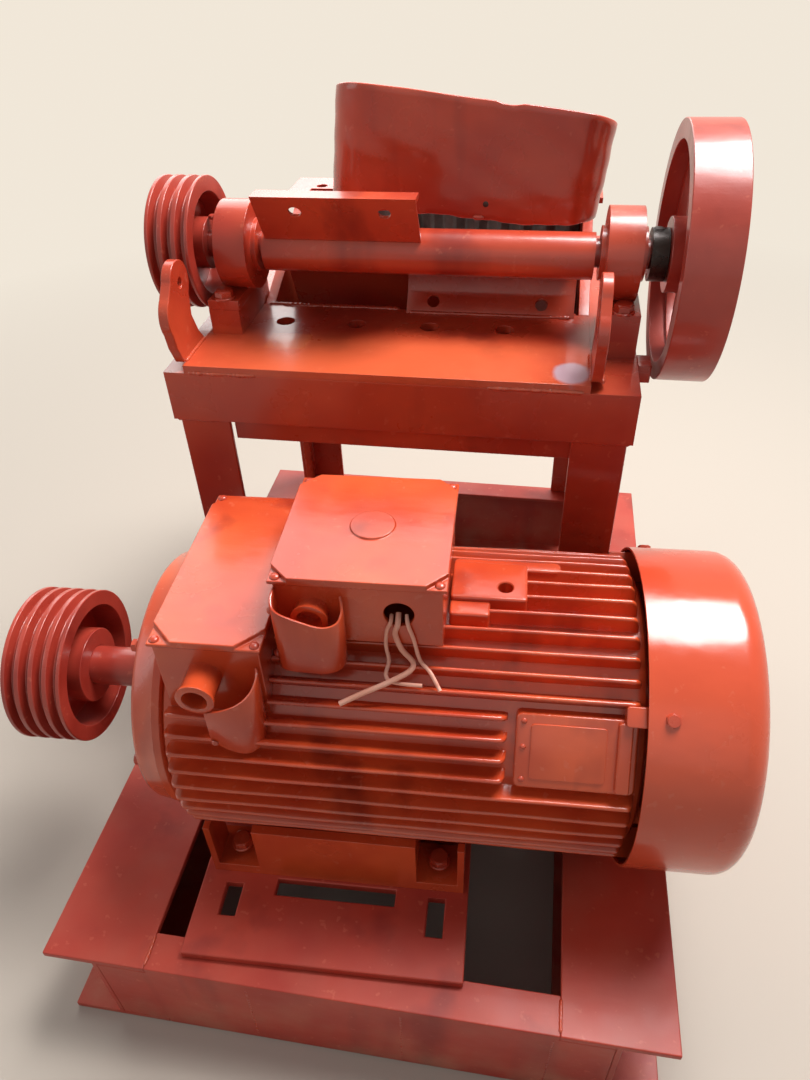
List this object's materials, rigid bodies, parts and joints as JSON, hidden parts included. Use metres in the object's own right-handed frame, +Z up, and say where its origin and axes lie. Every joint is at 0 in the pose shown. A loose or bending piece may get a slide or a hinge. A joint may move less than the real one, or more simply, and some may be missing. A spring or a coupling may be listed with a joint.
{
  "type": "small jaw crusher with drive motor",
  "caption": "Small jaw crusher on a welded angle stand, with grooved pulley, flywheel, sheet hopper and a ribbed electric motor on one I-beam base.",
  "frame": {"origin": "underside of the front channel's lower flange, at the middle of the base's width", "axes": "+X along the two shafts towards the flywheel, +Y from the motor side to the crusher side, +Z up"},
  "size_m": [0.8411, 1, 0.9218],
  "materials": {
    "red_paint": "glossy red oxide paint over welded steel",
    "base_paint": "glossy red oxide paint, thick and uneven, dusty",
    "motor_paint": "glossy orange-red paint over cast iron",
    "cover_paint": "smooth glossy orange-red paint over sheet steel",
    "wheel_paint": "red oxide paint over turned cast iron and steel",
    "wire_paint": "pale overpainted insulation",
    "worn_steel": "rough worn manganese steel",
    "dark_steel": "oily black steel",
    "fan_plastic": "moulded grey plastic"
  },
  "bodies": {
    "machine_frame": {"base_beam_left": "base_paint", "base_beam_right": "base_paint", "front_channel": "base_paint", "middle_channel": "base_paint", "rear_channel": "base_paint", "motor_plate": "base_paint", "motor_feet": "motor_paint", "motor_body": "motor_paint", "drive_end_shield": "motor_paint", "fan_cover": "cover_paint", "main_terminal_box": "motor_paint", "main_box_lid": "motor_paint", "side_terminal_box": "motor_paint", "side_box_lid": "motor_paint", "cable_clamps": "motor_paint", "lead_wire_long": "wire_paint", "lead_wire_middle": "wire_paint", "lead_wire_short": "wire_paint", "legs": "red_paint", "top_frame": "red_paint", "side_plate_left": "red_paint", "side_plate_right": "red_paint", "rear_wall": "red_paint", "deck_plate": "red_paint", "front_wall": "red_paint", "fixed_jaw_liner": "worn_steel", "ears": "red_paint", "bearing_housing_left": "red_paint", "bearing_housing_right": "red_paint", "bearing_pedestals": "red_paint", "rear_cover": "red_paint", "toggle_plate": "red_paint", "toggle_seat": "red_paint", "hopper": "red_paint"},
    "crusher_rotor": {"eccentric_shaft": "wheel_paint", "crusher_pulley": "wheel_paint", "flywheel": "wheel_paint", "clamping_collar": "dark_steel"},
    "swing_jaw_body": {"swing_jaw": "red_paint", "swing_jaw_liner": "worn_steel", "raised_cover": "red_paint"},
    "motor_rotor": {"motor_shaft": "wheel_paint", "motor_pulley": "wheel_paint", "cooling_fan": "fan_plastic"}
  },
  "joints": [
    {"name": "main_shaft_turn", "type": "hinge", "parent": "machine_frame", "child": "crusher_rotor", "pos_m": [0, 0.61, 0.754], "axis": [1, 0, 0], "continuous": true},
    {"name": "jaw_on_eccentric", "type": "hinge", "parent": "crusher_rotor", "child": "swing_jaw_body", "pos_m": [0, 0.61, 0.75], "axis": [1, 0, 0], "continuous": true},
    {"name": "motor_turn", "type": "hinge", "parent": "machine_frame", "child": "motor_rotor", "pos_m": [0, 0.263, 0.35], "axis": [0.999, 0.0436, 0], "continuous": true}
  ],
  "couplings": [
    {"joint": "jaw_on_eccentric", "follows": "main_shaft_turn", "ratio": -1}
  ]
}
